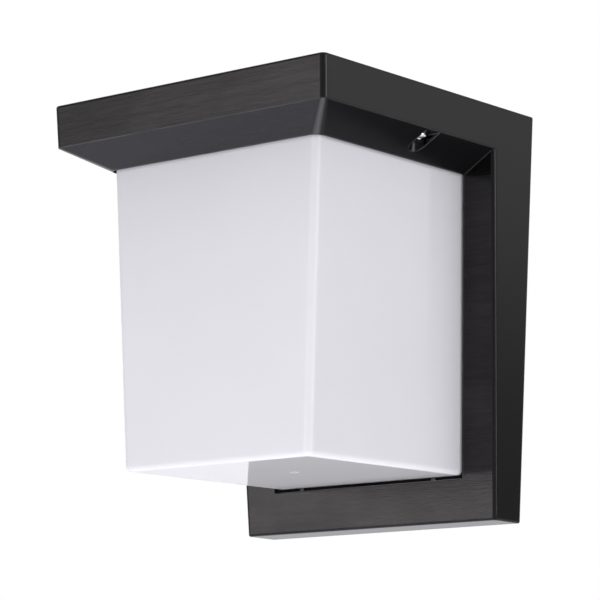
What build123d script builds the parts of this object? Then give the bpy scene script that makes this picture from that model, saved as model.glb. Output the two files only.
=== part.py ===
from build123d import *
import os
from math import atan2, cos, radians, sin, tan

# Outdoor wall lantern: a cast black housing with an opal shade slides over a bracket on the wall.
# X runs to the right seen from the front, the wall is the plane Y = 0, the lantern stands out to -Y.
# The origin lies on the wall, midway between the two wall screw slots. Millimetres.

# Housing outside
canopy_width = 130.0
canopy_depth = 119.2
canopy_face = 15.8
bevel_drop = 8.2
rise_above_mount = 75.0
drop_below_mount = 75.0
side_draft = 2.14
front_draft = 4.15
back_depth_top = 22.9
back_depth_foot = 14.5
canopy_corner = 2.2
back_corner = 1.4
top_edge_round = 0.8
foot_edge_round = 0.8

# Housing walls
roof = 3.0
wall = 2.6
window_edge = 1.3
inner_corner = 2.0

# Opal shade, open at its top and at its rear
shade_width_top = 97.8
shade_width_foot = 87.8
shade_reach_top = 103.4
shade_reach_foot = 99.6
shade_drop = 108.9
shade_fall = 1.05
shade_wall = 2.2
shade_corner = 2.6
shade_foot_round = 2.1
shade_gap = 1.3
drain_hole = 3.6
drain_offset = 3.0
drain_reach = 59.6
flange_overhang = 3.1
flange_thickness = 2.0
lip_overlap = 2.0
lip_thickness = 1.6

# Seals between the shade and the housing
seat_rise = 4.5
seat_margin = 0.6
seat_gasket_thickness = 1.0
window_gasket_thickness = 1.6
seal_slack = 0.1

# Rests under the shade, and ribs over its front flange
rest_spacing = 63.0
rest_width = 1.7
rest_setback = 0.2
rib_spacing = 60.0
rib_width = 3.0
rib_cover = 2.5

# Fixing screws under the canopy, their pockets and nuts
screw_inset = 7.4
screw_reach = 57.5
screw_thread = 3.0
screw_head = 6.0
screw_head_height = 1.8
screw_head_round = 0.9
screw_tip = 1.0
pocket_slack = 1.2
pocket_lip = 0.2
pocket_rim = 1.6
screw_pad = 2.8
screw_hole_slack = 0.4
thread_slack = 0.1
nut_size = 5.5
nut_height = 2.4
slide_slack = 0.15

# Small screws and bolts inside
small_thread = 2.5
small_head = 5.0
small_head_height = 1.5
small_bite = 2.6
bolt_thread = 4.0
bolt_head = 7.0
bolt_head_height = 2.2
recess_length_share = 0.56
recess_width_share = 0.14
recess_depth_share = 0.5

# Rear reflector, which keeps the shade in the window
reflector_thickness = 0.8
reflector_top_drop = 24.0
reflector_foot_drop = 141.0
reflector_screw_spacing = 108.4
reflector_screw_drops = (45.0, 128.0)
boss_diameter = 5.2

# Wall plate and its gasket
wall_gasket_thickness = 1.5
plate_thickness = 2.0
plate_width = 108.0
plate_top_drop = 6.0
plate_foot_drop = 142.0
plate_corner = 4.0
wall_slot_spacing = 80.0
wall_slot_length = 12.0
wall_slot_width = 5.0

# Cable entry and clamp
cable_bore = 8.0
grommet_waist = 13.0
grommet_rim = 17.0
grommet_lip = 1.2
cable_entry_drop = 121.0
clamp_width = 26.0
clamp_height = 8.0
clamp_strap = 1.6
clamp_rise = 5.6
clamp_drop = 102.0
clamp_screw_spacing = 19.0

# Tray that carries the light source
tray_thickness = 2.0
tray_side_gap = 0.5
tray_nose_margin = 4.0
tray_side_margin = 12.0
lug_past_screw = 4.4
tab_width = 84.0
tab_drop = 29.0
tab_bolt_spacing = 68.0
tab_bolt_drop = 23.0

# Light source
pad_thickness = 0.5
board_thickness = 1.6
board_width = 76.0
board_length = 60.0
board_reach = 64.0
board_corner = 3.0
board_screw_margin = 4.0
chip_width = 3.5
chip_length = 2.8
chip_height = 0.7
chip_columns = 5
chip_rows = 3
chip_pitch_x = 13.0
chip_pitch_y = 16.0

# Driver, terminals, earth point and leads
driver_width = 62.0
driver_height = 34.0
driver_thickness = 9.0
driver_drop = 51.0
terminal_width = 30.0
terminal_height = 15.0
terminal_thickness = 8.0
terminal_drop = 86.0
ear_length = 7.0
ear_height = 9.0
ear_thickness = 2.0
case_corner = 1.5
pole_count = 3
pole_pitch = 9.0
pole_row_pitch = 8.0
pole_well = 4.4
pole_well_depth = 4.0
pole_screw_head = 3.6
pole_screw_height = 2.4
pole_screw_thread = 2.0
pole_screw_length = 1.6
wire_hole = 2.4
wire_hole_depth = 2.0
earth_offset = 34.0
earth_drop = 96.0
washer_diameter = 9.0
washer_thickness = 1.0
lead_diameter = 1.8
lead_pitch = 6.0
lead_height = 2.4
lead_bend = 2.2
lead_step = 4.0
lead_end_gap = 0.05

# Levels worked out from the sizes above
top = rise_above_mount
foot = -drop_below_mount
canopy_foot = top - canopy_face
rim = canopy_foot - bevel_drop
shade_foot = rim - shade_drop
passage_foot = shade_foot - shade_gap
seat = rim + seat_rise
flange_foot = seat + seat_gasket_thickness
flange_top = flange_foot + flange_thickness
pocket_roof = canopy_foot - pocket_lip
pad_top = pocket_roof + screw_pad
shelf = canopy_foot + pocket_lip
back_floor = foot + roof
tray_foot = pad_top + slide_slack
tray_top = tray_foot + tray_thickness
nut_foot = tray_top + slide_slack
nut_top = nut_foot + nut_height
board_top = tray_foot - pad_thickness
board_foot = board_top - board_thickness
tray_reach = board_reach + board_length / 2 + tray_nose_margin
tray_nose_width = board_width + 2 * tray_side_margin

# Depths behind the back plate's leaning front face, and distances from the wall
lean = atan2(back_depth_top - back_depth_foot, canopy_foot - foot)
lip_start = window_edge + window_gasket_thickness
reflector_start = lip_start + lip_thickness
reflector_rear = reflector_start + reflector_thickness
plate_front = wall_gasket_thickness + plate_thickness
lead_reach = plate_front + lead_height


def side(height):
    """Half width of the housing at a height."""
    return canopy_width / 2 - (top - height) * tan(radians(side_draft))


def canopy_front(height):
    """Y of the canopy's front face at a height."""
    return (top - height) * tan(radians(front_draft)) - canopy_depth


def back_front(height):
    """Y of the back plate's front face at a height."""
    return (canopy_foot - height) * tan(lean) - back_depth_top


def shade_half(height):
    """Half width of the shade at a height."""
    share = (rim - height) / shade_drop
    return (shade_width_top + (shade_width_foot - shade_width_top) * share) / 2


def shade_front(height):
    """Y of the shade's front face at a height."""
    share = (rim - height) / shade_drop
    return -(shade_reach_top + (shade_reach_foot - shade_reach_top) * share)


def down(height):
    """Distance down the leaning back plate from the canopy's foot to a height."""
    return (canopy_foot - height) / cos(lean)


def seen_from_below(height):
    """Level plane facing down, whose second axis is the distance from the wall."""
    return Plane(origin=(0, 0, height), x_dir=(1, 0, 0), z_dir=(0, 0, -1))


# The back plate's front face, with its normal to the wall and its second axis running down
back_face = Plane(origin=(0, -back_depth_top, canopy_foot), x_dir=(1, 0, 0), z_dir=(0, cos(lean), sin(lean)))

# The shade's sides and front draw in to its foot, and its underside falls to the front, with its normal up
shade_side_lean = atan2(shade_width_top - shade_width_foot, 2 * shade_drop)
shade_front_lean = atan2(shade_reach_top - shade_reach_foot, shade_drop)
fall = radians(shade_fall)
shade_heel = (0, back_front(shade_foot), shade_foot)
shade_base = Plane(origin=shade_heel, x_dir=(1, 0, 0), z_dir=(0, -sin(fall), cos(fall)))

screw_half = side(canopy_foot) - screw_inset
screw_spots = [(-screw_half, screw_reach), (screw_half, screw_reach)]
pocket_radius = (screw_head + pocket_slack) / 2
ear_screw_offset = ear_length / 2
reflector_half = (reflector_screw_spacing + boss_diameter) / 2
reflector_spots = [
    (way * reflector_screw_spacing / 2, down(top - drop)) for way in (-1, 1) for drop in reflector_screw_drops
]
board_spots = [
    (x * (board_width / 2 - board_screw_margin), board_reach + y * (board_length / 2 - board_screw_margin))
    for x in (-1, 1)
    for y in (-1, 1)
]
tab_spots = [(-tab_bolt_spacing / 2, top - tab_bolt_drop), (tab_bolt_spacing / 2, top - tab_bolt_drop)]
clamp_spots = [(-clamp_screw_spacing / 2, top - clamp_drop), (clamp_screw_spacing / 2, top - clamp_drop)]
slot_spots = [(-wall_slot_spacing / 2, 0), (wall_slot_spacing / 2, 0)]
driver_ear_half = driver_width / 2 + ear_screw_offset
driver_spots = [(-driver_ear_half, top - driver_drop), (driver_ear_half, top - driver_drop)]
terminal_ear_half = terminal_width / 2 + ear_screw_offset
terminal_spots = [(-terminal_ear_half, top - terminal_drop), (terminal_ear_half, top - terminal_drop)]
earth_spot = (earth_offset, top - earth_drop)


def plan_at(height, half_width, front, corner):
    """Level outline at a height that runs back to the wall, with its two front corners rounded."""
    with BuildSketch(Plane.XY.offset(height)) as outline:
        with BuildLine():
            Polyline((-half_width, 0), (-half_width, front), (half_width, front), (half_width, 0), close=True)
        make_face()
        fillet(outline.vertices().group_by(Axis.Y)[0], corner)
    return outline.sketch


def canopy_plan(height, inset, corner):
    """Level outline of the canopy at a height, set in by a distance."""
    return plan_at(height, side(height) - inset, canopy_front(height) + inset, corner)


def back_plan(height, inset):
    """Level outline of the back plate at a height, set in by a distance."""
    return plan_at(height, side(height) - inset, back_front(height) + inset / cos(lean), back_corner)


def shade_plan(height, grow, corner):
    """Level outline of the shade at a height, grown by a distance."""
    return plan_at(height, shade_half(height) + grow, shade_front(height) - grow, corner)


def shade_block(start, grow, corner):
    """Flat-sided block of the shade below a height, grown by a distance, with rounded front corners."""
    half = shade_half(start) + grow
    front = shade_front(start) - grow
    with BuildPart() as block:
        with BuildSketch(Plane.XY.offset(start)):
            Rectangle(2 * half, -front, align=(Align.CENTER, Align.MAX))
        extrude(amount=foot - start)
        for way in (-1, 1):
            side_normal = (way * cos(shade_side_lean), 0, -sin(shade_side_lean))
            split(bisect_by=Plane(origin=(way * half, 0, start), z_dir=side_normal), keep=Keep.BOTTOM)
        front_normal = (0, -cos(shade_front_lean), -sin(shade_front_lean))
        split(bisect_by=Plane(origin=(0, front, start), z_dir=front_normal), keep=Keep.BOTTOM)
        split(bisect_by=shade_base.offset(-grow), keep=Keep.TOP)
        front_edges = block.faces().sort_by(Axis.Y)[0].edges()
        fillet(front_edges.filter_by(lambda edge: abs(edge.center().X) > half / 2), corner)
    return block.part


def shade_outside(grow):
    """Outside of the shade with its rounded foot, grown by a distance."""
    with BuildPart() as outside:
        add(shade_block(flange_top, grow, shade_corner))
        edges = outside.faces().sort_by(Axis.Z)[0].edges()
        fillet(edges.filter_by(lambda edge: edge.center().Y < -wall), shade_foot_round)
    return outside.part


def window_outline(depth, start, margin):
    """Outline behind the back plate's face, wider than the shade by a margin, down from a height."""
    half_top = shade_half(start) + margin
    half_foot = shade_half(shade_foot) + margin
    with BuildSketch(back_face.offset(depth)) as outline:
        with BuildLine():
            Polyline(
                (-half_top, down(start)),
                (half_top, down(start)),
                (half_foot, down(shade_foot - margin)),
                (-half_foot, down(shade_foot - margin)),
                close=True,
            )
        make_face()
    return outline.sketch


def pocket_plan(height, way, radius):
    """U-shaped outline of a screw pocket that opens to the canopy's side."""
    with BuildSketch(seen_from_below(height)) as outline:
        with Locations((way * screw_half, screw_reach)):
            Circle(radius)
        with Locations((way * (screw_half + screw_inset / 2), screw_reach)):
            Rectangle(screw_inset, 2 * radius)
    return outline.sketch


def clear_pads(thickness, height):
    """Cut notches round the screw pads out of a level sheet that starts at a height."""
    for way in (-1, 1):
        notch_radius = pocket_radius + pocket_rim + seal_slack
        extrude(pocket_plan(height + thickness, way, notch_radius), amount=thickness, mode=Mode.SUBTRACT)


def plate_outline(plane, cable_hole):
    """Outline of the wall plate with its wall screw slots and a hole for the cable."""
    with BuildSketch(plane) as outline:
        with Locations((0, top - (plate_top_drop + plate_foot_drop) / 2)):
            RectangleRounded(plate_width, plate_foot_drop - plate_top_drop, plate_corner)
        with Locations(*slot_spots):
            SlotOverall(wall_slot_length, wall_slot_width, mode=Mode.SUBTRACT)
        with Locations((0, top - cable_entry_drop)):
            Circle(cable_hole / 2, mode=Mode.SUBTRACT)
    return outline.sketch


def holes(spots, thread, depth, slack):
    """Round holes of a depth at places on the working plane, with a slack around the thread."""
    below = (Align.CENTER, Align.CENTER, Align.MAX)
    with Locations(*spots):
        Cylinder((thread + slack) / 2, depth, align=below, mode=Mode.SUBTRACT)


def screws(spots, head, head_height, thread, length):
    """Cross-recessed screws at places: heads stand on the working plane, threads go into it."""
    above = (Align.CENTER, Align.CENTER, Align.MIN)
    below = (Align.CENTER, Align.CENTER, Align.MAX)
    recess_length = head * recess_length_share
    recess_width = head * recess_width_share
    recess_depth = head_height * recess_depth_share
    with Locations(*spots):
        Cylinder(head / 2, head_height, align=above)
        Cylinder(thread / 2, length, align=below)
        with Locations((0, 0, head_height)):
            Box(recess_length, recess_width, recess_depth, align=below, mode=Mode.SUBTRACT)
            Box(recess_width, recess_length, recess_depth, align=below, mode=Mode.SUBTRACT)


def eared_case(width, height, thickness, drop):
    """Box on the wall plate with a screw ear at each end."""
    with BuildSketch(Plane.XZ.offset(plate_front)) as body:
        with Locations((0, top - drop)):
            RectangleRounded(width, height, case_corner)
    extrude(body.sketch, amount=thickness)
    with BuildSketch(Plane.XZ.offset(plate_front)) as ears:
        with Locations((0, top - drop)):
            RectangleRounded(width + 2 * ear_length, ear_height, case_corner)
    extrude(ears.sketch, amount=ear_thickness)


def lead(plane, *points):
    """Round insulated wire along straight runs on a plane, with rounded bends."""
    with BuildLine(plane) as route:
        FilletPolyline(*points, radius=lead_bend)
    with BuildSketch(Plane(origin=route.line @ 0, z_dir=route.line % 0)) as section:
        Circle(lead_diameter / 2)
    sweep(section.sketch, path=route.line)


# Space inside the housing, less the pads, ribs and bosses that stand in it
with BuildPart() as hollow:
    loft([canopy_plan(top - roof, wall, inner_corner), canopy_plan(shelf, wall, inner_corner)], ruled=True)
    seat_plan = shade_plan(seat, flange_overhang + seat_margin, inner_corner)
    loft([canopy_plan(shelf, wall, inner_corner), seat_plan], ruled=True)
    loft([back_plan(shelf, wall), back_plan(back_floor, wall)], ruled=True)
    for way in (-1, 1):
        pad = pocket_plan(pad_top, way, pocket_radius + pocket_rim)
        extrude(pad, amount=pad_top - rim, mode=Mode.SUBTRACT)
    rib_rear = shade_front(flange_top) - flange_overhang + rib_cover
    for way in (-1, 1):
        with Locations((way * rib_spacing / 2, rib_rear, flange_top + seal_slack)):
            Box(
                rib_width,
                canopy_depth,
                top - flange_top,
                align=(Align.CENTER, Align.MAX, Align.MIN),
                mode=Mode.SUBTRACT,
            )
    with BuildSketch(back_face.offset(reflector_start)) as bosses:
        with Locations(*reflector_spots):
            Circle(boss_diameter / 2)
    extrude(bosses.sketch, amount=-reflector_start, mode=Mode.SUBTRACT)

# Housing: canopy, bevel and back plate in one casting, open at the wall
with BuildPart() as housing:
    canopy_foot_plan = canopy_plan(canopy_foot, 0, canopy_corner)
    loft([canopy_plan(top, 0, canopy_corner), canopy_foot_plan], ruled=True)
    loft([canopy_foot_plan, shade_plan(rim, shade_gap, shade_corner + shade_gap)], ruled=True)
    loft([back_plan(canopy_foot, 0), back_plan(foot, 0)], ruled=True)
    top_edges = housing.faces().sort_by(Axis.Z)[-1].edges()
    fillet(top_edges.filter_by(lambda edge: edge.center().Y < -wall), top_edge_round)
    foot_edges = housing.faces().sort_by(Axis.Z)[0].edges()
    fillet(foot_edges.filter_by(lambda edge: edge.center().Y < -wall), foot_edge_round)
    add(hollow.part, mode=Mode.SUBTRACT)

    # Passage of the shade through the canopy's floor and the back plate, and the rebate of its gasket
    passage_corner = shade_corner + shade_gap
    passage_ends = [shade_plan(height, shade_gap, passage_corner) for height in (shelf, passage_foot)]
    loft(passage_ends, ruled=True, mode=Mode.SUBTRACT)
    rebate = window_outline(window_edge, seat, shade_gap + lip_overlap + seal_slack)
    extrude(rebate, amount=wall - window_edge, mode=Mode.SUBTRACT)

    # Rests that carry the shade's foot in the window
    with BuildSketch(back_face.offset(rest_setback)) as rests:
        rest_top = down(shade_foot - seal_slack)
        with Locations((-rest_spacing / 2, rest_top), (rest_spacing / 2, rest_top)):
            Rectangle(rest_width, 2 * shade_gap, align=(Align.CENTER, Align.MIN))
    extrude(rests.sketch, amount=window_edge - rest_setback)

    # Screw pockets in the bevel and the holes above them
    for way in (-1, 1):
        extrude(pocket_plan(pocket_roof, way, pocket_radius), amount=bevel_drop, mode=Mode.SUBTRACT)
        with Locations((way * screw_half, -screw_reach, pocket_roof)):
            Cylinder((screw_thread + screw_hole_slack) / 2, 2 * screw_pad, mode=Mode.SUBTRACT)
    with BuildSketch(back_face.offset(reflector_start)) as boss_holes:
        with Locations(*reflector_spots):
            Circle((small_thread + thread_slack) / 2)
    extrude(boss_holes.sketch, amount=-small_bite - thread_slack, mode=Mode.SUBTRACT)

# Shade: a tapered opal box with a flange round its top and a lip round its rear
with BuildPart() as shade:
    inside_corner = shade_corner - shade_wall / 2
    add(shade_outside(0))
    extrude(shade_plan(flange_foot, flange_overhang, shade_corner), amount=flange_thickness)
    clear_pads(flange_thickness, flange_foot)
    extrude(window_outline(lip_start, flange_foot, shade_gap + lip_overlap), amount=lip_thickness)
    add(shade_block(top, -shade_wall, inside_corner), mode=Mode.SUBTRACT)
    split(bisect_by=back_face.offset(reflector_start), keep=Keep.BOTTOM)
    with Locations((drain_offset, -drain_reach, shade_foot)):
        Cylinder(drain_hole / 2, 4 * shade_wall, mode=Mode.SUBTRACT)

# Gasket under the shade's flange
with BuildPart() as seat_gasket:
    extrude(shade_plan(seat, flange_overhang, shade_corner), amount=seat_gasket_thickness)
    clear_pads(seat_gasket_thickness, seat)
    seat_ends = [shade_plan(height, seal_slack, shade_corner) for height in (top, rim)]
    loft(seat_ends, ruled=True, mode=Mode.SUBTRACT)
    split(bisect_by=back_face.offset(window_edge), keep=Keep.BOTTOM)

# Gasket between the shade's lip and the back plate
with BuildPart() as window_gasket:
    extrude(window_outline(window_edge, seat, shade_gap + lip_overlap), amount=window_gasket_thickness)
    add(shade_outside(seal_slack), mode=Mode.SUBTRACT)

# White reflector sheet behind the shade
with BuildPart() as rear_reflector:
    with BuildSketch(back_face.offset(reflector_start)) as sheet:
        reflector_top = down(top - reflector_top_drop)
        reflector_height = down(top - reflector_foot_drop) - reflector_top
        with Locations((0, reflector_top)):
            Rectangle(2 * reflector_half, reflector_height, align=(Align.CENTER, Align.MIN))
        with Locations(*reflector_spots):
            Circle((small_thread + screw_hole_slack) / 2, mode=Mode.SUBTRACT)
    extrude(amount=reflector_thickness)

with BuildPart(back_face.offset(reflector_rear)) as reflector_screws:
    screws(reflector_spots, small_head, small_head_height, small_thread, reflector_thickness + small_bite)


def fixing_screw(way):
    """Pan-headed fixing screw on one side, head down in its pocket."""
    with BuildPart(seen_from_below(pocket_roof)) as screw:
        length = nut_top + screw_tip - pocket_roof
        screws([(way * screw_half, screw_reach)], screw_head, screw_head_height, screw_thread, length)
        rim_edges = screw.edges().filter_by(GeomType.CIRCLE).group_by(Axis.Z)[0]
        fillet(rim_edges.sort_by(SortBy.RADIUS)[-1:], screw_head_round)
    return screw


fixing_screw_left = fixing_screw(-1)
fixing_screw_right = fixing_screw(1)

# Square nuts that draw the housing up against the tray's lugs
with BuildPart() as clamp_nuts:
    with BuildSketch(seen_from_below(nut_top)) as nut_plan:
        with Locations(*screw_spots):
            Rectangle(nut_size, nut_size)
            Circle((screw_thread + thread_slack) / 2, mode=Mode.SUBTRACT)
    extrude(amount=nut_height)

# Foam gasket and steel plate on the wall
with BuildPart() as wall_gasket:
    extrude(plate_outline(Plane.XZ, grommet_rim + seal_slack), amount=wall_gasket_thickness)

with BuildPart(Plane.XZ.offset(plate_front)) as wall_plate:
    plate_plan = plate_outline(Plane.XZ.offset(wall_gasket_thickness), grommet_waist + seal_slack)
    extrude(plate_plan, amount=plate_thickness)
    holes(tab_spots + [earth_spot], bolt_thread, plate_thickness, thread_slack)
    holes(driver_spots + terminal_spots + clamp_spots, small_thread, plate_thickness, thread_slack)

# Rubber grommet in the plate's cable hole
with BuildPart(Plane.XZ.offset(plate_front)) as cable_grommet:
    with Locations((0, top - cable_entry_drop)):
        Cylinder(grommet_rim / 2, grommet_lip, align=(Align.CENTER, Align.CENTER, Align.MIN))
        Cylinder(grommet_waist / 2, plate_thickness, align=(Align.CENTER, Align.CENTER, Align.MAX))
        with Locations((0, 0, -plate_thickness)):
            Cylinder(grommet_rim / 2, grommet_lip, align=(Align.CENTER, Align.CENTER, Align.MAX))
        Cylinder(cable_bore / 2, 4 * plate_front, mode=Mode.SUBTRACT)

# Strap that grips the cable on the plate
with BuildPart() as cable_clamp:
    with BuildSketch(Plane.XY.offset(top - clamp_drop - clamp_height / 2)) as strap:
        arch = cable_bore / 2
        arch_middle = (0, arch - plate_front - clamp_rise)
        with Locations((0, -plate_front)):
            Rectangle(clamp_width, clamp_strap, align=(Align.CENTER, Align.MAX))
            Rectangle(cable_bore + 2 * clamp_strap, clamp_rise - arch, align=(Align.CENTER, Align.MAX))
        with Locations(arch_middle):
            Circle(arch + clamp_strap)
            Circle(arch, mode=Mode.SUBTRACT)
        with Locations((0, -plate_front)):
            Rectangle(cable_bore, clamp_rise - arch, align=(Align.CENTER, Align.MAX), mode=Mode.SUBTRACT)
            Rectangle(clamp_width, 2 * cable_bore, align=(Align.CENTER, Align.MIN), mode=Mode.SUBTRACT)
    extrude(amount=clamp_height)
    with BuildSketch(Plane.XZ.offset(plate_front)) as clamp_holes:
        with Locations(*clamp_spots):
            Circle((small_thread + screw_hole_slack) / 2)
    extrude(amount=clamp_strap, mode=Mode.SUBTRACT)

with BuildPart(Plane.XZ.offset(plate_front + clamp_strap)) as cable_clamp_screws:
    screws(clamp_spots, small_head, small_head_height, small_thread, clamp_strap + plate_thickness)

# Aluminium tray: a level sheet with notched lugs for the fixing screws and a tab bolted to the plate
with BuildPart() as led_tray:
    tray_half = side(tray_foot) - wall - tray_side_gap
    lug_reach = screw_reach + lug_past_screw
    with BuildSketch(seen_from_below(tray_top)) as tray_plan:
        with Locations((0, plate_front)):
            Rectangle(2 * tray_half, lug_reach - plate_front, align=(Align.CENTER, Align.MIN))
            Rectangle(tray_nose_width, tray_reach - plate_front, align=(Align.CENTER, Align.MIN))
        notch = screw_thread + screw_hole_slack
        with Locations(*screw_spots):
            Circle(notch / 2, mode=Mode.SUBTRACT)
            Rectangle(notch, 2 * lug_past_screw, align=(Align.CENTER, Align.MIN), mode=Mode.SUBTRACT)
    extrude(amount=tray_thickness)
    with BuildSketch(Plane.XZ.offset(plate_front)) as tab:
        with Locations((0, tray_top)):
            Rectangle(tab_width, tray_top - top + tab_drop, align=(Align.CENTER, Align.MAX))
        with Locations(*tab_spots):
            Circle((bolt_thread + screw_hole_slack) / 2, mode=Mode.SUBTRACT)
    extrude(amount=tray_thickness)
    with BuildSketch(seen_from_below(tray_top)) as tray_holes:
        with Locations(*board_spots):
            Circle((small_thread + thread_slack) / 2)
    extrude(amount=tray_thickness, mode=Mode.SUBTRACT)

with BuildPart(Plane.XZ.offset(plate_front + tray_thickness)) as tray_bolts:
    screws(tab_spots, bolt_head, bolt_head_height, bolt_thread, tray_thickness + plate_thickness)


def board_outline(height):
    """Outline of the light source's board with its screw holes."""
    with BuildSketch(seen_from_below(height)) as outline:
        with Locations((0, board_reach)):
            RectangleRounded(board_width, board_length, board_corner)
        with Locations(*board_spots):
            Circle((small_thread + screw_hole_slack) / 2, mode=Mode.SUBTRACT)
    return outline.sketch


# Light source: thermal pad, board, chips and the screws that hold them under the tray
with BuildPart() as thermal_pad:
    extrude(board_outline(tray_foot), amount=pad_thickness)

with BuildPart() as led_board:
    extrude(board_outline(board_top), amount=board_thickness)

with BuildPart(seen_from_below(board_foot)) as led_chips:
    with Locations((0, board_reach)):
        with GridLocations(chip_pitch_x, chip_pitch_y, chip_columns, chip_rows):
            Box(chip_width, chip_length, chip_height, align=(Align.CENTER, Align.CENTER, Align.MIN))

with BuildPart(seen_from_below(board_foot)) as board_screws:
    board_stack = board_thickness + pad_thickness + tray_thickness
    screws(board_spots, small_head, small_head_height, small_thread, board_stack)

# Driver and terminal block on the plate
with BuildPart(Plane.XZ.offset(plate_front + ear_thickness)) as led_driver:
    eared_case(driver_width, driver_height, driver_thickness, driver_drop)
    holes(driver_spots, small_thread, ear_thickness, screw_hole_slack)

with BuildPart(Plane.XZ.offset(plate_front + ear_thickness)) as driver_screws:
    screws(driver_spots, small_head, small_head_height, small_thread, ear_thickness + plate_thickness)

terminal_middle = top - terminal_drop
pole_screw_seat = plate_front + terminal_thickness - pole_well_depth
pole_columns = [pole_pitch * (pole - (pole_count - 1) / 2) for pole in range(pole_count)]
pole_spots = [(x, terminal_middle + row * pole_row_pitch / 2) for x in pole_columns for row in (-1, 1)]
with BuildPart(Plane.XZ.offset(plate_front + ear_thickness)) as terminal_block:
    eared_case(terminal_width, terminal_height, terminal_thickness, terminal_drop)
    holes(terminal_spots, small_thread, ear_thickness, screw_hole_slack)
    with BuildSketch(Plane.XZ.offset(pole_screw_seat)) as wells:
        with Locations(*pole_spots):
            Circle(pole_well / 2)
    extrude(amount=pole_well_depth, mode=Mode.SUBTRACT)
    with BuildSketch(Plane.XZ.offset(pole_screw_seat)) as thread_holes:
        with Locations(*pole_spots):
            Circle((pole_screw_thread + thread_slack) / 2)
    extrude(amount=-pole_screw_length - thread_slack, mode=Mode.SUBTRACT)
    for way in (-1, 1):
        with BuildSketch(Plane.XY.offset(terminal_middle + way * terminal_height / 2)) as wire_holes:
            with Locations(*[(x, -lead_reach) for x in pole_columns]):
                Circle(wire_hole / 2)
        extrude(amount=-way * wire_hole_depth, mode=Mode.SUBTRACT)

with BuildPart(Plane.XZ.offset(plate_front + ear_thickness)) as terminal_ear_screws:
    screws(terminal_spots, small_head, small_head_height, small_thread, ear_thickness + plate_thickness)

with BuildPart(Plane.XZ.offset(pole_screw_seat)) as terminal_screws:
    screws(pole_spots, pole_screw_head, pole_screw_height, pole_screw_thread, pole_screw_length)

# Earth point on the plate
with BuildPart(Plane.XZ.offset(plate_front)) as earth_washer:
    with Locations(earth_spot):
        Cylinder(washer_diameter / 2, washer_thickness, align=(Align.CENTER, Align.CENTER, Align.MIN))
        Cylinder((bolt_thread + screw_hole_slack) / 2, 2 * washer_thickness, mode=Mode.SUBTRACT)

with BuildPart(Plane.XZ.offset(plate_front + washer_thickness)) as earth_screw:
    screws([earth_spot], bolt_head, bolt_head_height, bolt_thread, washer_thickness + plate_thickness)

# Leads: supply to the driver, driver to the board, and the earth lead
terminal_top = terminal_middle + terminal_height / 2
terminal_foot = terminal_middle - terminal_height / 2
driver_foot = top - driver_drop - driver_height / 2
driver_top = top - driver_drop + driver_height / 2
with BuildPart() as supply_leads:
    for x in pole_columns[:-1]:
        lead(
            Plane.XZ.offset(lead_reach),
            (x, terminal_top - wire_hole_depth),
            (x, terminal_top + lead_bend),
            (x - lead_bend, driver_foot - lead_bend),
            (x - lead_bend, driver_foot),
        )

with BuildPart() as led_leads:
    lead_level = (board_top + board_foot) / 2
    for way in (-1, 1):
        lead(
            Plane.YZ.offset(way * lead_pitch / 2),
            (-lead_reach, driver_top),
            (-lead_reach, driver_top + lead_bend),
            (-lead_reach - lead_step, driver_top + lead_bend + lead_step),
            (-lead_reach - lead_step, lead_level),
            (board_length / 2 - board_reach + lead_end_gap, lead_level),
        )

with BuildPart() as earth_lead:
    lead(
        Plane.XZ.offset(lead_reach),
        (pole_columns[-1], terminal_foot + wire_hole_depth),
        (pole_columns[-1], top - earth_drop),
        (earth_offset - bolt_head / 2 - lead_end_gap, top - earth_drop),
    )

pieces = {
    "housing": housing,
    "shade": shade,
    "seat_gasket": seat_gasket,
    "window_gasket": window_gasket,
    "rear_reflector": rear_reflector,
    "reflector_screws": reflector_screws,
    "fixing_screw_left": fixing_screw_left,
    "fixing_screw_right": fixing_screw_right,
    "clamp_nuts": clamp_nuts,
    "wall_gasket": wall_gasket,
    "wall_plate": wall_plate,
    "cable_grommet": cable_grommet,
    "cable_clamp": cable_clamp,
    "cable_clamp_screws": cable_clamp_screws,
    "led_tray": led_tray,
    "tray_bolts": tray_bolts,
    "thermal_pad": thermal_pad,
    "led_board": led_board,
    "led_chips": led_chips,
    "board_screws": board_screws,
    "led_driver": led_driver,
    "driver_screws": driver_screws,
    "terminal_block": terminal_block,
    "terminal_ear_screws": terminal_ear_screws,
    "terminal_screws": terminal_screws,
    "earth_washer": earth_washer,
    "earth_screw": earth_screw,
    "supply_leads": supply_leads,
    "led_leads": led_leads,
    "earth_lead": earth_lead,
}
os.makedirs("parts", exist_ok=True)
for name, piece in pieces.items():
    piece.part.label = name
    export_step(piece.part, f"parts/{name}.step")
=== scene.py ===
import math

import bmesh
import bpy
from mathutils import Matrix, Vector


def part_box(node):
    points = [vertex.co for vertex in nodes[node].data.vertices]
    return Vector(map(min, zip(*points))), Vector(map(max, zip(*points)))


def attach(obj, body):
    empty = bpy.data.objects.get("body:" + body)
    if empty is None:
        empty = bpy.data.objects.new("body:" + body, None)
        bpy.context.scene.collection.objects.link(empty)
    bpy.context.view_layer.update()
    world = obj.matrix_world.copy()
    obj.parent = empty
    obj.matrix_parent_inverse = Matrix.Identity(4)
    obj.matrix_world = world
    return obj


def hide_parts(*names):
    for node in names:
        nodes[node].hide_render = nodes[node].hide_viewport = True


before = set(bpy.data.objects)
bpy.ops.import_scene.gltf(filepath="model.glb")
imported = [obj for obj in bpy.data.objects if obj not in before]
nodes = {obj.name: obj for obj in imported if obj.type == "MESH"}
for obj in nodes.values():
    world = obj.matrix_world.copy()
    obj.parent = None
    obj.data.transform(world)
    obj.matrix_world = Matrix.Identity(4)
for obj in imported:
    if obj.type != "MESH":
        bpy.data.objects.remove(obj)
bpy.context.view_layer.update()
scene = bpy.context.scene
scene.view_settings.view_transform = "Standard"


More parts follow.
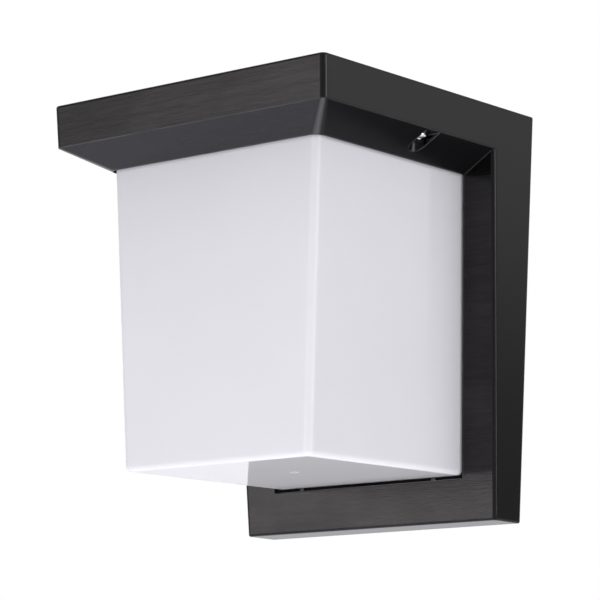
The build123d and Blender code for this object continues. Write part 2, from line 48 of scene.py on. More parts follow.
def rgb(red, green, blue):
    """A linear colour with full alpha."""
    return (red, green, blue, 1.0)


# Camera: below the lantern and to its right, with a long lens
AZIMUTH = math.radians(40.8698)
ELEVATION = math.radians(-10.0356)
ROLL = math.radians(0.8718)
AIM = Vector((0.0, -0.075, -0.010))
DISTANCE = 1.061126
SLIDE_RIGHT = 0.0134085
SLIDE_UP = 0.0123751
LENS = 177.2826
SENSOR = 36.0
NEAREST = 0.01
FURTHEST = 100.0

# Fixing screws: lengths in metres, recess shares of its mouth and its depth
SHARP = math.radians(34.0)
HEAD_RADIUS = 0.0030
HEAD_HEIGHT = 0.0018
HEAD_ROUND = 0.0009
HEAD_DOME = 0.00018
HEAD_EDGE = 0.0001
HEAD_STEPS = 4
ROUND_STEPS = 6
RECESS_HALF_LENGTH = 0.00165
RECESS_HALF_WIDTH = 0.00042
RECESS_DEPTH = 0.0009
RECESS_FLOOR_SHARE = 0.55
RECESS_LIP_SHARE = 0.94
RECESS_LIP_DEPTH = 0.06
RECESS_STEPS = (2, 4, 4, 2)
THREAD_RADIUS = 0.00149
THREAD_DEPTH = 0.00027
THREAD_PITCH = 0.0005
THREAD_STEPS = 6
LEFT_PHASE = math.radians(64.0)
RIGHT_PHASE = math.radians(23.0)

# Light-emitting chips: lengths in metres, with the phosphor's rings as pairs of inset and height
CHIP_CORNER = 0.00025
CHIP_LEAST_CORNER = 0.00002
CHIP_CORNER_STEPS = 4
CHIP_TOP_EDGE = 0.00012
CHIP_DRAFT = 0.00003
CHIP_FOOT_EDGE = 0.00010
CHIP_FOOT_RISE = 0.00008
CHIP_RIM = 0.00042
CHIP_CUP = 0.00016
CHIP_CUP_SLOPE = 0.00012
CHIP_CUP_FLOOR = 0.00008
PHOSPHOR_RINGS = ((0.00011, 0.00007), (0.00009, 0.0), (0.00030, -0.00004), (0.00062, -0.00006))
CHIP_WELD = 0.00001

# Black coat: ranges of its normal's parts that tell its faces apart, and of the place in metres
DOWNWARD = (-0.80, -0.60)
FORWARD = (-0.30, -0.16)
SIDEWAYS = (0.5, 0.7)
CORNER_FIRST = (0.08, 0.16)
CORNER_LAST = (-0.60, -0.45)
MITRE = (0.035, 0.085)
CREASE = (-0.05, -0.01)
EDGE_TURN = (0.86, 0.985)
CANOPY_FRONT = (-0.06, -0.04)
POCKET_ROOF = (0.0585, 0.0592)
EDGE_RADIUS = 0.0008
EDGE_SAMPLES = 6
STREAK_STRETCH = (110.0, 110.0, 3000.0)
BAND_STRETCH = (30.0, 30.0, 700.0)
STREAK_SHARE = 0.65
BAND_SHARE = 0.35
CREASE_DIMS = 0.8
GRAIN_ROUGHNESS = 0.08
CORNER_ROUGHNESS = 0.35
BRUSH_DARK = rgb(0.0290, 0.0274, 0.0277)
BRUSH_LIGHT = rgb(0.0450, 0.0425, 0.0430)
BRUSH_SMUDGE = rgb(0.020, 0.019, 0.019)
# Front bevel: a speckled finish without grain, its lighter bluish tone partly a painted reflection of the
# opal shade
BEVEL_TONE_AND_REFLECTION_DARK = rgb(0.044, 0.043, 0.048)
BEVEL_TONE_AND_REFLECTION_LIGHT = rgb(0.066, 0.065, 0.072)
# Front mitre colour: part ground metal, part painted highlight
MITRE_METAL_AND_HIGHLIGHT_COLOUR = rgb(0.175, 0.173, 0.180)
COAT_DARK = rgb(0.0038, 0.0039, 0.0045)
COAT_LIGHT = rgb(0.0056, 0.0057, 0.0064)
# Lighter edge colours: part wear, part painted highlight along the edges and the crease
EDGE_WEAR_AND_HIGHLIGHT_COAT = rgb(0.06, 0.06, 0.062)
EDGE_WEAR_AND_HIGHLIGHT_BRUSH = rgb(0.26, 0.258, 0.265)

# Other finishes: the middle of a noise, the stretch of metal streaks, and where wires change colour
MIDDLE = (0.3, 0.7)
DRAWN_STRETCH = (60.0, 900.0, 900.0)
ROLLED_STRETCH = (1600.0, 25.0, 25.0)
SUPPLY_SPLIT = -0.0065
OUTPUT_SPLIT = 0.0
SPLIT_BLUR = 0.0001
EARTH_STRIPE = (-0.45, -0.35)
WIRE_GRIME = rgb(0.02, 0.02, 0.02)

# Floor, in metres, and its levels for the camera and for reflections
FLOOR = -1.30
FLOOR_HALF = 19.5
FLOOR_CELLS = 4
FLOOR_LIFT = 0.5
FLOOR_GLOW = 0.85
FLOOR_GLOW_COLOUR = rgb(0.955, 0.955, 1.0)

# World: soft light by direction, and the panels that reflections show
SOFT_SIDE = (0.55, -0.835, 0.0)
SOFT_SPREAD = (-0.6, 0.8)
SOFT_LOW = 0.46
SOFT_HIGH = 0.68
BACKDROP = (-0.664, 0.748, 0.0)
BACKDROP_EDGE = (0.05, 0.75)
ROOM = 0.15
RIGHT_WALL = (0.956, 0.292, 0.0)
WALL_EDGE = (0.68, 0.86)
WALL_FOOT = (0.08, 0.19)
WALL = 1.35
LEFT_SHEET = (-0.371, -0.918, -0.14)
SHEET_EDGE = (0.80, 0.99)
SHEET_FALL = (-0.06, 0.10)
SHEET_FOOT = 1.5
SHEET_TOP = 0.80
SHEET = 3.2
RIGHT_SLIT = (0.985, 0.10, 0.14)
SLIT_EDGE = (0.975, 0.995)
SLIT = 6.0

# Soft boxes: name, azimuth, elevation, distance, width, height, radiance, and whether reflections show it
LAMP_AIM = Vector((0.0, -0.06, 0.0))
LAMPS = (
    ("strip", 76.0, 4.0, 1.3, 0.40, 1.4, 1.75, False),
    ("overhead", 0.0, 88.0, 1.2, 1.2, 1.2, 1.8, True),
    ("bounce", 20.0, -66.0, 0.58, 1.2, 1.2, 1.08, False),
)


def make_camera():
    """The camera at the photograph's place."""
    back = Vector(
        (
            math.sin(AZIMUTH) * math.cos(ELEVATION),
            -math.cos(AZIMUTH) * math.cos(ELEVATION),
            math.sin(ELEVATION),
        )
    )
    right = Vector((math.cos(AZIMUTH), math.sin(AZIMUTH), 0.0))
    up = back.cross(right)
    place = AIM + back * DISTANCE + right * SLIDE_RIGHT + up * SLIDE_UP
    turned_right = right * math.cos(ROLL) + up * math.sin(ROLL)
    turned_up = up * math.cos(ROLL) - right * math.sin(ROLL)
    data = bpy.data.cameras.new("camera")
    data.lens = LENS
    data.sensor_width = SENSOR
    data.clip_start = NEAREST
    data.clip_end = FURTHEST
    camera = bpy.data.objects.new("camera", data)
    scene.collection.objects.link(camera)
    axes = Matrix((turned_right, turned_up, back)).transposed()
    camera.matrix_world = Matrix.Translation(place) @ axes.to_4x4()
    scene.camera = camera


class Tree:
    """A node tree under construction."""

    def __init__(self, tree):
        self.tree = tree
        tree.nodes.clear()

    def feed(self, socket, value):
        """Links an input to a socket, or sets its value."""
        if isinstance(value, bpy.types.NodeSocket):
            self.tree.links.new(value, socket)
        else:
            socket.default_value = value

    def add(self, kind, settings=None, **sockets):
        """Adds a node, sets its properties, and feeds its inputs by name, or by place as i0, i1."""
        node = self.tree.nodes.new(kind)
        for key, value in (settings or {}).items():
            setattr(node, key, value)
        for key, value in sockets.items():
            index = key[1:]
            name = key.replace("_", " ")
            self.feed(node.inputs[int(index)] if index.isdigit() else node.inputs[name], value)
        return node

    def math(self, operation, a, b=0.0):
        """One sum of two values."""
        return self.add("ShaderNodeMath", {"operation": operation}, i0=a, i1=b).outputs[0]

    def times(self, product, *factors):
        """The product of several values."""
        for factor in factors:
            product = self.math("MULTIPLY", product, factor)
        return product

    def rest(self, share):
        """What a share leaves of one."""
        return self.math("SUBTRACT", 1.0, share)

    def size(self, value):
        """A value without its sign."""
        return self.math("ABSOLUTE", value)

    def parts(self, vector):
        """The X, Y and Z of a vector."""
        return self.add("ShaderNodeSeparateXYZ", Vector=vector).outputs

    def dot(self, a, b):
        """How far two directions agree."""
        return self.add("ShaderNodeVectorMath", {"operation": "DOT_PRODUCT"}, i0=a, i1=b).outputs["Value"]

    def ramp(self, value, low, high, out_low=0.0, out_high=1.0):
        """A value mapped smoothly from one range to another."""
        node = self.add(
            "ShaderNodeMapRange",
            {"interpolation_type": "SMOOTHSTEP"},
            Value=value,
            From_Min=low,
            From_Max=high,
            To_Min=out_low,
            To_Max=out_high,
        )
        return node.outputs[0]

    def fall(self, value, low, high):
        """One below a range, and nothing above it."""
        return self.ramp(value, low, high, 1.0, 0.0)

    def blend(self, share, a, b):
        """A colour between two colours."""
        return self.add("ShaderNodeMix", {"data_type": "RGBA"}, i0=share, i6=a, i7=b).outputs[2]

    def noise(self, place, scale, detail=2.0, roughness=0.5, stretch=(1.0, 1.0, 1.0)):
        """Noise in the object's own coordinates, with a stretch along its axes."""
        mapped = self.add("ShaderNodeMapping", Vector=place, Scale=stretch)
        node = self.add(
            "ShaderNodeTexNoise",
            Vector=mapped.outputs[0],
            Scale=scale,
            Detail=detail,
            Roughness=roughness,
        )
        return node.outputs[0]

    def bump(self, height, distance, strength, normal=None):
        """A bumped normal."""
        node = self.add("ShaderNodeBump", Height=height, Distance=distance, Strength=strength)
        if normal is not None:
            self.feed(node.inputs["Normal"], normal)
        return node.outputs[0]

    def finish(self, shader, kind="ShaderNodeOutputMaterial"):
        """Adds the output."""
        self.add(kind, i0=shader.outputs[0])


def new_material(name):
    """A material with an empty tree, and the place and normal in the object's own frame."""
    material = bpy.data.materials.new(name)
    material.use_nodes = True
    tree = Tree(material.node_tree)
    coordinates = tree.add("ShaderNodeTexCoord").outputs
    return material, tree, coordinates["Object"], coordinates["Normal"]


def finish_material(tree, **sockets):
    """Adds the shader and the output."""
    tree.finish(tree.add("ShaderNodeBsdfPrincipled", **sockets))


def black_coat():
    """Satin black coat with a fine skin, brushed on its front faces, and brighter at the front mitres, part
    ground metal and part painted highlight.
    """
    material, tree, place, normal = new_material("black_coat")
    facing = tree.parts(normal)
    spot = tree.parts(place)

    # Which kind of face a point lies on
    across = tree.size(facing["X"])
    bevelled = tree.fall(facing["Z"], *DOWNWARD)
    upright = tree.rest(bevelled)
    ahead = tree.fall(spot["Y"], *CANOPY_FRONT)
    pocketed = tree.times(ahead, tree.fall(spot["Z"], *POCKET_ROOF))
    cornered = tree.times(
        tree.ramp(across, *CORNER_FIRST),
        tree.fall(facing["Y"], *CORNER_LAST),
        tree.math("SUBTRACT", upright, pocketed),
    )
    plain = tree.math("MAXIMUM", cornered, tree.times(tree.ramp(across, *SIDEWAYS), upright))
    brushed = tree.times(tree.fall(facing["Y"], *FORWARD), tree.rest(plain))
    turned = tree.times(across, tree.size(facing["Y"]))
    # The front mitre band: part ground metal, part painted highlight
    mitre_metal_and_highlight = tree.times(bevelled, ahead, tree.ramp(turned, *MITRE))

    # Patterns
    streaks = tree.noise(place, 1.0, 4.0, 0.62, STREAK_STRETCH)
    bands = tree.noise(place, 1.0, stretch=BAND_STRETCH)
    clouds = tree.noise(place, 38.0)
    skin = tree.noise(place, 2400.0, 2.0, 0.6)
    grain = tree.math("ADD", tree.times(streaks, STREAK_SHARE), tree.times(bands, BAND_SHARE))
    grain = tree.ramp(grain, *MIDDLE)

    # Lighter edges, part wear and part painted highlight, fainter in the crease of the rear corners
    edge_normal = tree.add("ShaderNodeBevel", {"samples": EDGE_SAMPLES}, Radius=EDGE_RADIUS).outputs[0]
    bent = tree.parts(edge_normal)
    folded = tree.times(tree.size(bent["X"]), tree.size(bent["Y"]), bent["Z"])
    creased = tree.times(tree.fall(folded, *CREASE), tree.rest(ahead))
    true_normal = tree.add("ShaderNodeNewGeometry").outputs["True Normal"]
    # Mask of the lighter edges: part wear, part painted highlight
    wear_and_highlight = tree.times(
        tree.fall(tree.dot(edge_normal, true_normal), *EDGE_TURN),
        tree.ramp(clouds, 0.35, 0.7, 0.4, 1.0),
        tree.rest(tree.times(creased, CREASE_DIMS)),
    )

    # Colour
    coat_colour = tree.blend(clouds, COAT_DARK, COAT_LIGHT)
    brush_colour = tree.blend(grain, BRUSH_DARK, BRUSH_LIGHT)
    brush_colour = tree.blend(tree.ramp(clouds, 0.35, 0.65, 0.0, 0.30), brush_colour, BRUSH_SMUDGE)
    # Front bevel colour: speckled finish, its lighter bluish tone partly a painted reflection of the opal
    # shade
    bevel_tone_and_reflection = tree.blend(tree.ramp(skin, *MIDDLE), BEVEL_TONE_AND_REFLECTION_DARK, BEVEL_TONE_AND_REFLECTION_LIGHT)
    brush_colour = tree.blend(bevelled, brush_colour, bevel_tone_and_reflection)
    # Bright mitre band: part ground metal, part painted highlight
    brush_colour = tree.blend(mitre_metal_and_highlight, brush_colour, MITRE_METAL_AND_HIGHLIGHT_COLOUR)
    colour = tree.blend(brushed, coat_colour, brush_colour)
    # Edges take a lighter colour: part wear, part painted highlight
    colour = tree.blend(wear_and_highlight, colour, tree.blend(brushed, EDGE_WEAR_AND_HIGHLIGHT_COAT, EDGE_WEAR_AND_HIGHLIGHT_BRUSH))

    # Gloss and relief
    combed = tree.times(grain, brushed)
    roughness = tree.math("ADD", tree.times(combed, GRAIN_ROUGHNESS), tree.ramp(skin, *MIDDLE, 0.16, 0.20))
    roughness = tree.math("ADD", roughness, tree.times(cornered, CORNER_ROUGHNESS))
    bumped = tree.bump(skin, 0.00002, 0.25, edge_normal)
    bumped = tree.bump(combed, 0.00003, 0.45, bumped)
    finish_material(tree, Base_Color=colour, Metallic=brushed, Roughness=roughness, Normal=bumped, IOR=1.31)
    return material


def opal_acrylic():
    """Milky acrylic with a glossy skin, slightly uneven in tone."""
    material, tree, place, _ = new_material("opal_acrylic")
    clouds = tree.noise(place, 26.0)
    skin = tree.noise(place, 1500.0, 3.0, 0.6)
    colour = tree.blend(clouds, rgb(0.785, 0.775, 0.820), rgb(0.815, 0.805, 0.850))
    roughness = tree.ramp(skin, 0.25, 0.75, 0.04, 0.08)
    bumped = tree.bump(skin, 0.000003, 0.25)
    finish_material(
        tree,
        Base_Color=colour,
        Roughness=roughness,
        Normal=bumped,
        IOR=1.34,
        Subsurface_Weight=1.0,
        Subsurface_Radius=(1.0, 1.0, 1.0),
        Subsurface_Scale=0.0012,
    )
    return material


def plain_metal(name, dark, light, low, high, stretch, scratch):
    """Metal with streaks along one direction and a few fine scratches."""
    material, tree, place, _ = new_material(name)
    streaks = tree.noise(place, 1.0, 3.0, 0.6, stretch)
    clouds = tree.noise(place, 140.0, 3.0, 0.6)
    colour = tree.blend(tree.ramp(clouds, *MIDDLE), dark, light)
    roughness = tree.ramp(streaks, *MIDDLE, low, high)
    bumped = tree.bump(streaks, scratch, 0.4)
    finish_material(tree, Base_Color=colour, Roughness=roughness, Normal=bumped, Metallic=1.0)
    return material


def moulded(name, dark, light, low, high, grain, depth, ior=1.45):
    """Moulded plastic, rubber or coating with a grain and a slight unevenness of tone."""
    material, tree, place, _ = new_material(name)
    clouds = tree.noise(place, 60.0)
    skin = tree.noise(place, grain, 2.0, 0.6)
    colour = tree.blend(tree.ramp(clouds, *MIDDLE), dark, light)
    roughness = tree.ramp(skin, *MIDDLE, low, high)
    bumped = tree.bump(skin, depth, 0.5)
    finish_material(tree, Base_Color=colour, Roughness=roughness, Normal=bumped, IOR=ior)
    return material


def foam():
    """Closed-cell foam rubber."""
    material, tree, place, _ = new_material("foam_rubber")
    cells = tree.add("ShaderNodeTexVoronoi", Vector=place, Scale=900.0).outputs["Distance"]
    clouds = tree.noise(place, 70.0)
    colour = tree.blend(clouds, rgb(0.012, 0.012, 0.012), rgb(0.024, 0.024, 0.025))
    roughness = tree.ramp(cells, 0.0, 0.7, 0.95, 0.75)
    bumped = tree.bump(cells, 0.0002, 0.6)
    finish_material(tree, Base_Color=colour, Roughness=roughness, Normal=bumped)
    return material


def circuit_board():
    """White solder mask with faint copper runs below it."""
    material, tree, place, _ = new_material("circuit_board")
    runs = tree.add(
        "ShaderNodeTexBrick",
        {"offset": 0.5, "squash": 1.0},
        Vector=place,
        Scale=60.0,
        Mortar_Size=0.035,
        Mortar_Smooth=0.2,
        Brick_Width=0.78,
        Row_Height=0.96,
    ).outputs["Fac"]
    skin = tree.noise(place, 900.0)
    colour = tree.blend(runs, rgb(0.80, 0.80, 0.77), rgb(0.70, 0.69, 0.63))
    roughness = tree.ramp(skin, *MIDDLE, 0.32, 0.42)
    bumped = tree.bump(runs, 0.00004, 0.5)
    finish_material(tree, Base_Color=colour, Roughness=roughness, Normal=bumped)
    return material


def finish_wire(tree, place, tone, grime):
    """Gives insulation of some tone its grime, gloss and skin."""
    skin = tree.noise(place, 700.0)
    colour = tree.blend(tree.times(skin, grime), tone, WIRE_GRIME)
    roughness = tree.ramp(skin, *MIDDLE, 0.38, 0.5)
    bumped = tree.bump(skin, 0.00003, 0.4)
    finish_material(tree, Base_Color=colour, Roughness=roughness, Normal=bumped)


def wire_cover(name, split, first, second):
    """Insulation in two colours, one on each side of a split along X."""
    material, tree, place, _ = new_material(name)
    share = tree.ramp(tree.parts(place)["X"], split - SPLIT_BLUR, split + SPLIT_BLUR)
    finish_wire(tree, place, tree.blend(share, first, second), 0.25)
    return material


def earth_cover():
    """Green insulation with a yellow stripe along the wire."""
    material, tree, place, normal = new_material("earth_cover")
    share = tree.ramp(tree.parts(normal)["Y"], *EARTH_STRIPE)
    finish_wire(tree, place, tree.blend(share, rgb(0.55, 0.42, 0.02), rgb(0.02, 0.20, 0.05)), 0.2)
    return material


make_camera()
materials = {
    "black_coat": black_coat(),
    "opal": opal_acrylic(),
    "foam": foam(),
    "rubber": moulded(
        "black_rubber", rgb(0.003, 0.003, 0.003), rgb(0.006, 0.006, 0.006), 0.7, 0.85, 900.0, 0.00003, 1.2
    ),
    "sheet": moulded(
        "white_sheet", rgb(0.765, 0.765, 0.765), rgb(0.795, 0.795, 0.795), 0.4, 0.5, 1200.0, 0.00002
    ),
    "steel": plain_metal(
        "bright_steel", rgb(0.80, 0.80, 0.81), rgb(0.90, 0.90, 0.91), 0.10, 0.20, DRAWN_STRETCH, 0.000008
    ),
    "zinc": plain_metal(
        "zinc_steel", rgb(0.50, 0.51, 0.53), rgb(0.64, 0.65, 0.68), 0.28, 0.42, DRAWN_STRETCH, 0.00001
    ),
    "aluminium": plain_metal(
        "mill_aluminium", rgb(0.66, 0.67, 0.68), rgb(0.76, 0.77, 0.78), 0.30, 0.45, ROLLED_STRETCH, 0.00001
    ),
    "brass": plain_metal(
        "plain_brass", rgb(0.55, 0.40, 0.16), rgb(0.68, 0.52, 0.24), 0.22, 0.34, DRAWN_STRETCH, 0.000008
    ),
    "board": circuit_board(),
    "pad": moulded("grey_pad", rgb(0.16, 0.17, 0.19), rgb(0.22, 0.23, 0.25), 0.7, 0.8, 700.0, 0.00004),
    "chip": moulded("yellow_chip", rgb(0.72, 0.52, 0.08), rgb(0.80, 0.60, 0.12), 0.4, 0.5, 1500.0, 0.00002),
    "package": moulded(
        "chip_package", rgb(0.76, 0.75, 0.70), rgb(0.82, 0.81, 0.76), 0.35, 0.45, 1500.0, 0.00001
    ),
    "case": moulded("pale_case", rgb(0.58, 0.58, 0.55), rgb(0.66, 0.66, 0.63), 0.45, 0.58, 1300.0, 0.00004),
    "supply": wire_cover("supply_cover", SUPPLY_SPLIT, rgb(0.02, 0.07, 0.30), rgb(0.12, 0.045, 0.015)),
    "output": wire_cover("output_cover", OUTPUT_SPLIT, rgb(0.015, 0.015, 0.015), rgb(0.45, 0.02, 0.015)),
    "earth": earth_cover(),
}
finishes = {
    "housing": "black_coat",
    "shade": "opal",
    "seat_gasket": "rubber",
    "window_gasket": "rubber",
    "rear_reflector": "sheet",
    "reflector_screws": "steel",
    "clamp_nuts": "steel",
    "wall_gasket": "foam",
    "wall_plate": "zinc",
    "cable_grommet": "rubber",
    "cable_clamp": "case",
    "cable_clamp_screws": "zinc",
    "led_tray": "aluminium",
    "tray_bolts": "zinc",
    "thermal_pad": "pad",
    "led_board": "board",
    "board_screws": "steel",
    "led_driver": "case",
    "driver_screws": "zinc",
    "terminal_block": "case",
    "terminal_ear_screws": "zinc",
    "terminal_screws": "brass",
    "earth_washer": "brass",
    "earth_screw": "brass",
    "supply_leads": "supply",
    "led_leads": "output",
    "earth_lead": "earth",
}
for node, finish in finishes.items():
    slots = nodes[node].data.materials
    slots.clear()
    slots.append(materials[finish])


def new_piece(name, shape, material, body):
    """Turns a built shape into a piece that rides on a body."""
    mesh = bpy.data.meshes.new(name)
    bmesh.ops.recalc_face_normals(shape, faces=shape.faces)
    for face in shape.faces:
        face.smooth = True
    for edge in shape.edges:
        edge.smooth = edge.calc_face_angle(0.0) < SHARP
    shape.to_mesh(mesh)
    shape.free()
    mesh.materials.append(material)
    piece = bpy.data.objects.new(name, mesh)
    scene.collection.objects.link(piece)
    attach(piece, body)
    return piece


def stack_rings(shape, rings):
    """Joins rings of points by bands of faces and closes the stack at both ends."""
    rows = [[shape.verts.new(point) for point in ring] for ring in rings]
    count = len(rows[0])
    for lower, upper in zip(rows, rows[1:]):
        for i in range(count):
            j = (i + 1) % count
            shape.faces.new((lower[i], lower[j], upper[j], upper[i]))
    for row in (rows[0], rows[-1]):
        middle = shape.verts.new(sum((v.co for v in row), Vector()) / count)
        for i in range(count):
            shape.faces.new((row[i], row[(i + 1) % count], middle))


def cross_turns():
    """Angles round a cross recess that meet all its corners."""
    near = math.degrees(math.atan2(RECESS_HALF_WIDTH, RECESS_HALF_LENGTH))
    stops = (0.0, near, 45.0, 90.0 - near, 90.0)
    quarter = []
    for start, end, steps in zip(stops, stops[1:], RECESS_STEPS):
        quarter += [start + (end - start) * k / steps for k in range(steps)]
    return [math.radians(angle + 90.0 * turn) for turn in range(4) for angle in quarter]


def cross_edge(angle):
    """How far the edge of the cross recess is from its middle."""
    c, s = abs(math.cos(angle)), abs(math.sin(angle))
    long_side, short_side = max(c, s), min(c, s)
    near = RECESS_HALF_LENGTH / long_side
    if short_side * near <= RECESS_HALF_WIDTH:
        return near
    return RECESS_HALF_WIDTH / short_side


def make_fixing_screw(node, body, phase):
    """A pan-headed screw, head down, with a cross recess and a cut thread."""
    low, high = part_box(node)
    axis = (Vector(low) + Vector(high)) / 2
    turns = cross_turns()
    edges = [cross_edge(angle) for angle in turns]
    foot, tip = low[2], high[2]
    seat = foot + HEAD_HEIGHT

    def uneven_ring(radii, levels):
        return [
            (axis.x + r * math.cos(t + phase), axis.y + r * math.sin(t + phase), z)
            for r, t, z in zip(radii, turns, levels)
        ]

    def level_ring(radii, level):
        return uneven_ring(radii, [level] * len(turns))

    def round_ring(radius, level):
        return level_ring([radius] * len(turns), level)

    flat = HEAD_RADIUS - HEAD_ROUND
    rings = [
        level_ring([RECESS_FLOOR_SHARE * e for e in edges], foot + RECESS_DEPTH),
        level_ring([RECESS_LIP_SHARE * e for e in edges], foot + RECESS_LIP_DEPTH * RECESS_DEPTH),
    ]
    for k in range(HEAD_STEPS + 1):
        radii = [e + (flat - e) * k / HEAD_STEPS for e in edges]
        rings.append(uneven_ring(radii, [foot + HEAD_DOME * (r / flat) ** 2 for r in radii]))
    for k in range(1, ROUND_STEPS + 1):
        angle = math.radians(90.0 * k / ROUND_STEPS)
        rise = HEAD_DOME + (HEAD_ROUND - HEAD_DOME) * (1.0 - math.cos(angle))
        rings.append(round_ring(flat + HEAD_ROUND * math.sin(angle), foot + rise))
    rings.append(round_ring(HEAD_RADIUS, seat - HEAD_EDGE))
    rings.append(round_ring(HEAD_RADIUS - HEAD_EDGE, seat))
    rings.append(round_ring(THREAD_RADIUS, seat))
    steps = int((tip - seat) / THREAD_PITCH * THREAD_STEPS)
    for k in range(1, steps):
        level = seat + (tip - seat) * k / steps
        fade = min(1.0, (tip - level) / THREAD_PITCH, (level - seat) / THREAD_PITCH)
        radii = []
        for t in turns:
            place = (level - seat) / THREAD_PITCH - t / (2 * math.pi)
            groove = abs(2.0 * (place % 1.0) - 1.0)
            radii.append(THREAD_RADIUS - THREAD_DEPTH * (1.0 - fade + fade * groove))
        rings.append(level_ring(radii, level))
    rings.append(round_ring(THREAD_RADIUS - THREAD_DEPTH - HEAD_EDGE, tip))
    shape = bmesh.new()
    stack_rings(shape, rings)
    piece = new_piece(node + "_detail", shape, materials["steel"], body)
    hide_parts(node)


def rounded_ring(low, high, inset, level, corner):
    """A level ring round a rectangle with rounded corners."""
    points = []
    radius = max(corner - inset, CHIP_LEAST_CORNER)
    for x, y, start in (
        (high.x, high.y, 0.0),
        (low.x, high.y, 90.0),
        (low.x, low.y, 180.0),
        (high.x, low.y, 270.0),
    ):
        side_x = 1.0 if x == high.x else -1.0
        side_y = 1.0 if y == high.y else -1.0
        middle_x = x - side_x * (inset + radius)
        middle_y = y - side_y * (inset + radius)
        for k in range(CHIP_CORNER_STEPS + 1):
            angle = math.radians(start + 90.0 * k / CHIP_CORNER_STEPS)
            points.append((middle_x + radius * math.cos(angle), middle_y + radius * math.sin(angle), level))
    return points


def chip_boxes():
    """The lowest and highest corner of each chip in the CAD model."""
    shape = bmesh.new()
    shape.from_mesh(nodes["led_chips"].data)
    bmesh.ops.remove_doubles(shape, verts=shape.verts, dist=CHIP_WELD)
    left = set(shape.verts)
    boxes = []
    while left:
        found = [left.pop()]
        for vert in found:
            for edge in vert.link_edges:
                other = edge.other_vert(vert)
                if other in left:
                    left.remove(other)
                    found.append(other)
        places = [vert.co for vert in found]
        boxes.append([Vector([pick(p[i] for p in places) for i in range(3)]) for pick in (min, max)])
    shape.free()
    return sorted(boxes, key=lambda box: tuple(box[0]))


def make_chips():
    """Light-emitting chips: pale packages, each with a pool of phosphor in a shallow cup."""
    packages, pools = bmesh.new(), bmesh.new()
    for low, high in chip_boxes():
        cup = low.z + CHIP_CUP
        outline = (
            (CHIP_TOP_EDGE, high.z),
            (0.0, high.z - CHIP_TOP_EDGE),
            (CHIP_DRAFT, low.z + CHIP_FOOT_RISE),
            (CHIP_FOOT_EDGE, low.z),
            (CHIP_RIM, low.z),
            (CHIP_RIM + CHIP_CUP_SLOPE, cup + CHIP_CUP_FLOOR),
        )
        rings = [rounded_ring(low, high, inset, level, CHIP_CORNER) for inset, level in outline]
        stack_rings(packages, rings)
        rings = [
            rounded_ring(low, high, CHIP_RIM + inset, cup + height, 2 * CHIP_CORNER)
            for inset, height in PHOSPHOR_RINGS
        ]
        stack_rings(pools, rings)
    package = new_piece("chip_packages", packages, materials["package"], "base")
    pool = new_piece("chip_phosphor", pools, materials["chip"], "base")
    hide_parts("led_chips")
    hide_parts("led_chips")


make_fixing_screw("fixing_screw_left", "screw_left", LEFT_PHASE)
make_fixing_screw("fixing_screw_right", "screw_right", RIGHT_PHASE)
make_chips()


def make_floor():
    """A pale floor well below the lantern, lifted for the camera and near white in reflections."""
    mesh = bpy.data.meshes.new("floor")
    shape = bmesh.new()
    bmesh.ops.create_grid(shape, x_segments=FLOOR_CELLS, y_segments=FLOOR_CELLS, size=FLOOR_HALF)
    shape.to_mesh(mesh)
    shape.free()
    floor = bpy.data.objects.new("floor", mesh)
    floor.location = (0.0, 0.0, FLOOR)
    scene.collection.objects.link(floor)
    material, tree, place, _ = new_material("pale_floor")
    clouds = tree.noise(place, 3.0)
    colour = tree.blend(clouds, rgb(0.85, 0.845, 0.87), rgb(0.87, 0.865, 0.89))
    path = tree.add("ShaderNodeLightPath").outputs
    diffuse = tree.add("ShaderNodeBsdfDiffuse", Color=colour)
    lift = tree.times(path["Is Camera Ray"], FLOOR_LIFT)
    lifted = tree.add("ShaderNodeEmission", Color=colour, Strength=lift)
    matt = tree.add("ShaderNodeAddShader", i0=diffuse.outputs[0], i1=lifted.outputs[0])
    glow = tree.add("ShaderNodeEmission", Color=FLOOR_GLOW_COLOUR, Strength=FLOOR_GLOW)
    reflected = tree.math("MAXIMUM", path["Is Glossy Ray"], path["Is Transmission Ray"])
    tree.finish(tree.add("ShaderNodeMixShader", i0=reflected, i1=matt.outputs[0], i2=glow.outputs[0]))
    mesh.materials.append(material)


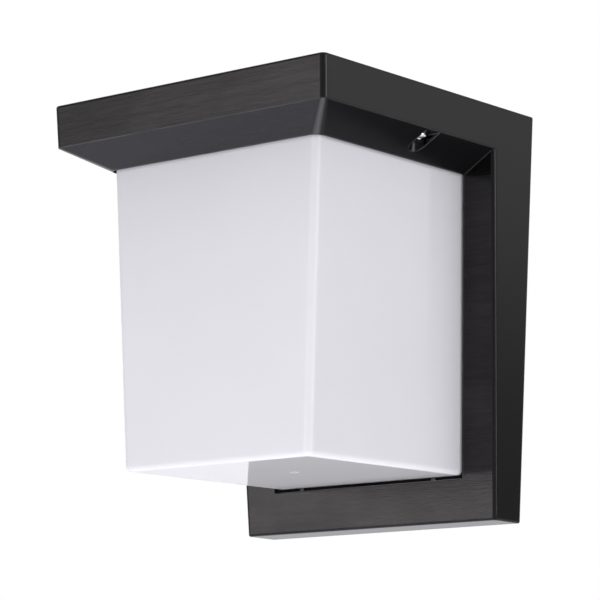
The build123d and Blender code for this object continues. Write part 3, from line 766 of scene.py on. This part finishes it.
def make_world():
    """White for the camera, a backdrop, a dim room and panels in reflections, and soft light for the rest."""
    world = bpy.data.worlds.new("studio")
    scene.world = world
    world.use_nodes = True
    tree = Tree(world.node_tree)
    path = tree.add("ShaderNodeLightPath").outputs
    direction = tree.add("ShaderNodeTexCoord").outputs["Generated"]
    height = tree.parts(direction)["Z"]
    mirrored = tree.ramp(tree.dot(direction, BACKDROP), *BACKDROP_EDGE, ROOM, 1.0)
    wall = tree.times(
        tree.ramp(tree.dot(direction, RIGHT_WALL), *WALL_EDGE),
        tree.ramp(height, *WALL_FOOT, 0.0, WALL),
    )
    sheet = tree.times(
        tree.ramp(tree.dot(direction, LEFT_SHEET), *SHEET_EDGE, 0.0, SHEET),
        tree.ramp(height, *SHEET_FALL, SHEET_FOOT, SHEET_TOP),
    )
    slit = tree.ramp(tree.dot(direction, RIGHT_SLIT), *SLIT_EDGE, 0.0, SLIT)
    for panel in (wall, sheet, slit):
        mirrored = tree.math("ADD", mirrored, panel)
    spread = tree.ramp(tree.dot(direction, SOFT_SIDE), *SOFT_SPREAD, SOFT_LOW, SOFT_HIGH)
    reflected = tree.math("MAXIMUM", path["Is Glossy Ray"], path["Is Transmission Ray"])
    level = tree.add("ShaderNodeMix", i0=reflected, i2=spread, i3=mirrored).outputs[0]
    level = tree.add("ShaderNodeMix", i0=path["Is Camera Ray"], i2=level, i3=1.0).outputs[0]
    background = tree.add("ShaderNodeBackground", Color=rgb(1.0, 1.0, 1.0), Strength=level)
    tree.finish(background, "ShaderNodeOutputWorld")


def make_lamp(name, azimuth, elevation, distance, width, height, radiance, mirrored):
    """A soft box round the lantern: azimuth 0 is in front of it, 90 on its right."""
    a, e = math.radians(azimuth), math.radians(elevation)
    out = Vector((math.sin(a) * math.cos(e), -math.cos(a) * math.cos(e), math.sin(e)))
    data = bpy.data.lights.new(name, "AREA")
    data.shape = "RECTANGLE"
    data.size = width
    data.size_y = height
    data.energy = radiance * math.pi * width * height
    lamp = bpy.data.objects.new(name, data)
    lamp.location = LAMP_AIM + out * distance
    lamp.rotation_euler = out.to_track_quat("Z", "Y").to_euler()
    lamp.visible_camera = False
    lamp.visible_glossy = mirrored
    scene.collection.objects.link(lamp)


make_floor()
make_world()
for lamp in LAMPS:
    make_lamp(*lamp)
